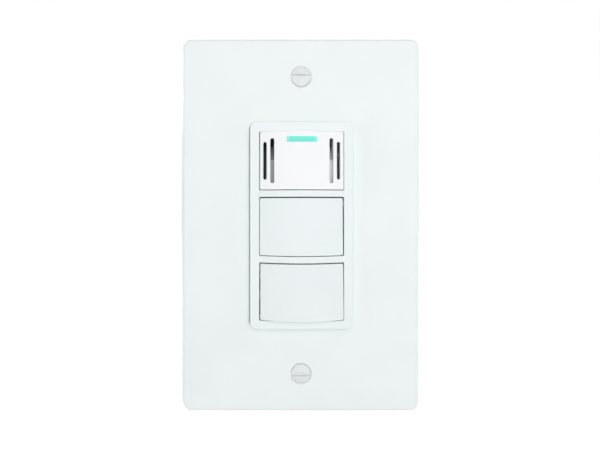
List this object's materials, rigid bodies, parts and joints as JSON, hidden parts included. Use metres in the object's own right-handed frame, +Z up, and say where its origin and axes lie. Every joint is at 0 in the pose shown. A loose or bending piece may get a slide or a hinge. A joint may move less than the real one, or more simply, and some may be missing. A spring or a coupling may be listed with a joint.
{
  "type": "moisture sensing fan and light wall control",
  "caption": "White wall control with a vented moisture sensor cover and light bar above two curved push buttons, in a rectangular wall plate, with boards in a rear housing.",
  "frame": {"origin": "centre of the wall plate's back rim, in the plane of the wall surface", "axes": "+X to the right seen from the room, +Y into the wall, +Z up"},
  "size_m": [0.0794, 0.0451, 0.1238],
  "materials": {
    "white_plate": "smooth satin gloss",
    "white_device": "smooth satin gloss",
    "white_screw": "white enamel",
    "lens": "clear turquoise, glossy",
    "white_inner": "matt",
    "zinc_steel": "bright zinc",
    "spring_steel": "bright",
    "fibre": "pressed fibre",
    "green_paint": "green enamel",
    "housing": "fine moulded texture",
    "board": "solder mask",
    "brass": "bright",
    "nylon": "satin",
    "black_plastic": "satin",
    "blue_plastic": "satin",
    "epoxy": "glossy dip",
    "led_body": "clear lens",
    "ceramic": "fired ceramic",
    "yellow_plastic": "satin",
    "can": "sleeved can",
    "varistor_coat": "glossy dip",
    "fuse_body": "satin"
  },
  "bodies": {
    "device": {"wall_plate": "white_plate", "plate_screws": "white_screw", "front_frame": "white_device", "sensor_cover": "white_device", "light_pipe": "lens", "mounting_strap": "zinc_steel", "device_screws": "zinc_steel", "screw_retainers": "fibre", "earth_screw": "green_paint", "rear_housing": "housing", "housing_screws": "zinc_steel", "terminal_plates": "brass", "terminal_screws": "brass", "control_board": "board", "power_board": "board", "standoffs": "nylon", "board_screws": "zinc_steel", "tact_bases": "black_plastic", "tact_covers": "spring_steel", "light_dome": "spring_steel", "fan_dome": "spring_steel", "trimmer_bodies": "blue_plastic", "sensor_carrier": "white_inner", "moisture_sensor": "black_plastic", "temperature_bead": "epoxy", "status_led": "led_body", "microcontroller": "black_plastic", "chip_parts": "ceramic", "header_pins": "brass", "header_blocks": "black_plastic", "relays": "blue_plastic", "film_capacitor": "yellow_plastic", "reservoir_capacitor": "can", "varistor": "varistor_coat", "fuse": "fuse_body"},
    "light_button": {"light_button": "white_device"},
    "fan_button": {"fan_button": "white_device"},
    "light_plunger": {"light_plunger": "black_plastic"},
    "fan_plunger": {"fan_plunger": "black_plastic"},
    "timer_dial": {"timer_dial": "nylon"},
    "sensitivity_dial": {"sensitivity_dial": "nylon"}
  },
  "joints": [
    {"name": "light_button_hinge", "type": "hinge", "parent": "device", "child": "light_button", "pos_m": [0, -0.0062, 0.00718], "axis": [1, 0, 0], "range_deg": [0, 2.38], "stiffness_Nm_per_rad": 0.4, "springref_deg": -0.57},
    {"name": "fan_button_hinge", "type": "hinge", "parent": "device", "child": "fan_button", "pos_m": [0, -0.0062, -0.01379], "axis": [1, 0, 0], "range_deg": [0, 2.38], "stiffness_Nm_per_rad": 0.4, "springref_deg": -0.57},
    {"name": "light_plunger_slide", "type": "slide", "parent": "device", "child": "light_plunger", "axis": [0, 1, 0], "range_m": [0, 0.0005], "deforming": ["light_dome"]},
    {"name": "fan_plunger_slide", "type": "slide", "parent": "device", "child": "fan_plunger", "axis": [0, 1, 0], "range_m": [0, 0.0005], "deforming": ["fan_dome"]},
    {"name": "timer_dial_turn", "type": "hinge", "parent": "device", "child": "timer_dial", "pos_m": [-0.0085, -0.0031, -0.018], "axis": [0, 1, 0], "range_deg": [-135, 135]},
    {"name": "sensitivity_dial_turn", "type": "hinge", "parent": "device", "child": "sensitivity_dial", "pos_m": [0.0085, -0.0031, -0.018], "axis": [0, 1, 0], "range_deg": [-135, 135]}
  ],
  "couplings": [
    {"joint": "light_plunger_slide", "follows": "light_button_hinge", "m_per_rad": 0.012},
    {"joint": "fan_plunger_slide", "follows": "fan_button_hinge", "m_per_rad": 0.012}
  ]
}
